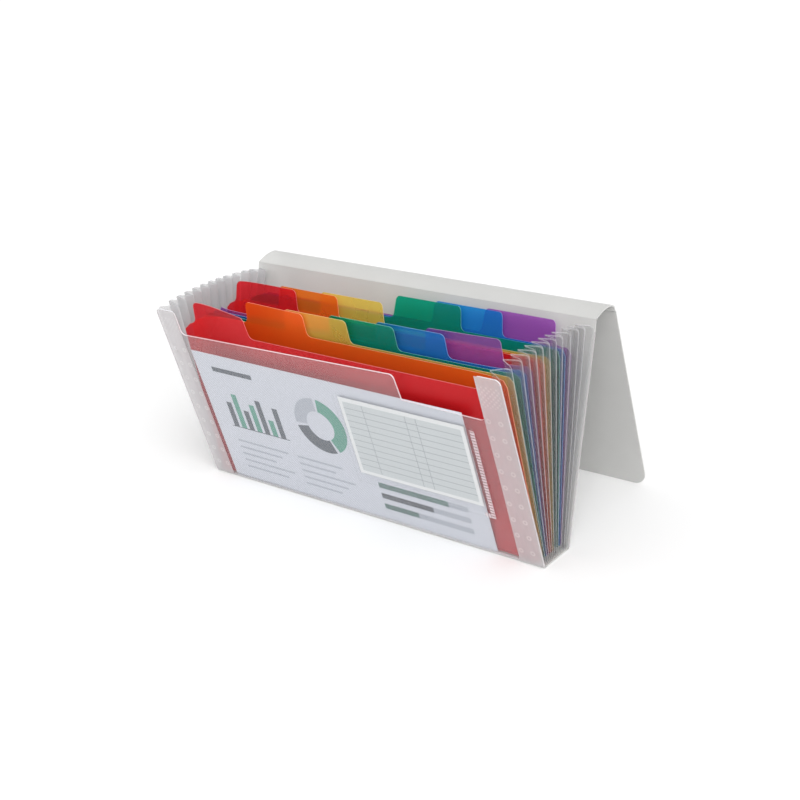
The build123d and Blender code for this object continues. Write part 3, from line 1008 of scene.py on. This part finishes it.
class FOLDER_OT_insert(bpy.types.Operator):
    """Finishes the insert sheet and prints charts and plain text lines on it."""

    bl_idname = "folder.insert"
    bl_label = "Insert sheet"

    INKS = ("teal", "slate", "grey")
    # Places and sizes of the print, in millimetres from the sheet's lower left corner
    HEADING = {"x": 14, "up": 84, "width": 34, "height": 3.4}
    TEXT_LEFTS, TEXT_LINES, TEXT_TOP, TEXT_STEP = (14, 66), 5, 30, 5.2
    TEXT_WIDTH, TEXT_RAG, TEXT_HEIGHT = 44, 7, 1.5
    CHART_LINE = {"x": 14, "up": 42, "width": 50, "height": 0.6}
    CHART_COLUMNS, COLUMN_LEFT, COLUMN_STEP, COLUMN_FOOT, COLUMN_WIDTH = 7, 16, 6.8, 42.6, 4.4
    COLUMN_LEAST, COLUMN_SPREAD = 9, 17
    RING_X, RING_UP, RING_INNER, RING_OUTER = 96, 61, 10.5, 20
    RING_PARTS = ((0.02, 0.42), (0.44, 0.72), (0.74, 1.0))  # from and to, in turns from the top
    LEVEL_BARS, LEVEL_LEFT, LEVEL_TOP, LEVEL_STEP, LEVEL_WIDTH, LEVEL_HEIGHT = 3, 130, 24, 8, 66, 4
    FILL_WIDTH, FILL_STEP = 52, 13

    def execute(self, context):
        look = context.scene.folder_insert
        dress("insert_sheet", paper_stock("coated_paper", look.paper, look.fibre))
        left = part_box("insert_sheet")[0].x
        face = look.ink - HALF_SHEET - look.room
        teal, slate, grey = range(len(self.INKS))
        grids = []

        def bar(ink, x, up, width, height):
            """A flat bar of print."""
            across = left + (x + np.array([0.0, width])) * MM
            grids.append((on_front(across, look.seat + (up + np.array([0.0, height])[:, None]) * MM, face), ink))

        def ring(ink, first, last):
            """Part of a flat ring: the radius times the sine of the turn across, and times its cosine up."""
            angle = math.tau * np.linspace(first, last, look.ring_points)
            radius = np.array([self.RING_INNER, self.RING_OUTER])[:, None]
            across = left + (self.RING_X + radius * np.sin(angle)) * MM
            grids.append((on_front(across, look.seat + (self.RING_UP + radius * np.cos(angle)) * MM, face), ink))

        bar(slate, **self.HEADING)
        for column, x in enumerate(self.TEXT_LEFTS):
            for row in range(self.TEXT_LINES):
                width = self.TEXT_WIDTH - self.TEXT_RAG * ((row + column) % 3)
                bar(grey, x, self.TEXT_TOP - self.TEXT_STEP * row, width, self.TEXT_HEIGHT)
        bar(slate, **self.CHART_LINE)
        for column in range(self.CHART_COLUMNS):
            x = self.COLUMN_LEFT + self.COLUMN_STEP * column
            uneven = abs(math.sin(1.1 * column + 0.6))
            height = self.COLUMN_LEAST + self.COLUMN_SPREAD * uneven
            bar(teal if column % 2 else slate, x, self.COLUMN_FOOT, self.COLUMN_WIDTH, height)
        for ink, (first, last) in zip((teal, slate, grey), self.RING_PARTS, strict=True):
            ring(ink, first, last)
        for row in range(self.LEVEL_BARS):
            up = self.LEVEL_TOP - self.LEVEL_STEP * row
            bar(grey, self.LEVEL_LEFT, up, self.LEVEL_WIDTH, self.LEVEL_HEIGHT)
            fill = self.FILL_WIDTH - self.FILL_STEP * row
            bar(slate if row == 1 else teal, self.LEVEL_LEFT, up, fill, self.LEVEL_HEIGHT)

        inks = [paper_stock(f"printing_ink_{name}", getattr(look, name), look.fibre) for name in self.INKS]
        piece = make_piece("insert_sheet_print", grids, inks, look.ink)
        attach(piece, "insert")
        return {"FINISHED"}


class FOLDER_PT_parts(bpy.types.Panel):
    """Lists the steps that make the folder."""

    bl_idname = "FOLDER_PT_parts"
    bl_label = "Accordion file folder"
    bl_space_type = "VIEW_3D"
    bl_region_type = "UI"
    bl_category = "Folder"

    def draw(self, context):
        for step in STEPS:
            self.layout.operator(step.bl_idname)


LOOKS = {
    "folder_stage": StageLook,
    "folder_cover": CoverLook,
    "folder_divider": DividerLook,
    "folder_gusset": GussetLook,
    "folder_flange": FlangeLook,
    "folder_card": CardLook,
    "folder_insert": InsertLook,
}
STEPS = (
    FOLDER_OT_stage,
    FOLDER_OT_cover,
    FOLDER_OT_dividers,
    FOLDER_OT_gussets,
    FOLDER_OT_flanges,
    FOLDER_OT_card_pocket,
    FOLDER_OT_insert,
)


def register():
    """Registers the property groups, the steps and the panel."""
    for name, look in LOOKS.items():
        bpy.utils.register_class(look)
        setattr(bpy.types.Scene, name, PointerProperty(type=look))
    for step in (*STEPS, FOLDER_PT_parts):
        bpy.utils.register_class(step)


def unregister():
    """Takes back what register() added."""
    for step in (FOLDER_PT_parts, *reversed(STEPS)):
        bpy.utils.unregister_class(step)
    for name, look in LOOKS.items():
        delattr(bpy.types.Scene, name)
        bpy.utils.unregister_class(look)


def main():
    register()
    for step in STEPS:
        group, name = step.bl_idname.split(".")
        getattr(getattr(bpy.ops, group), name)()


if __name__ == "__main__":
    main()
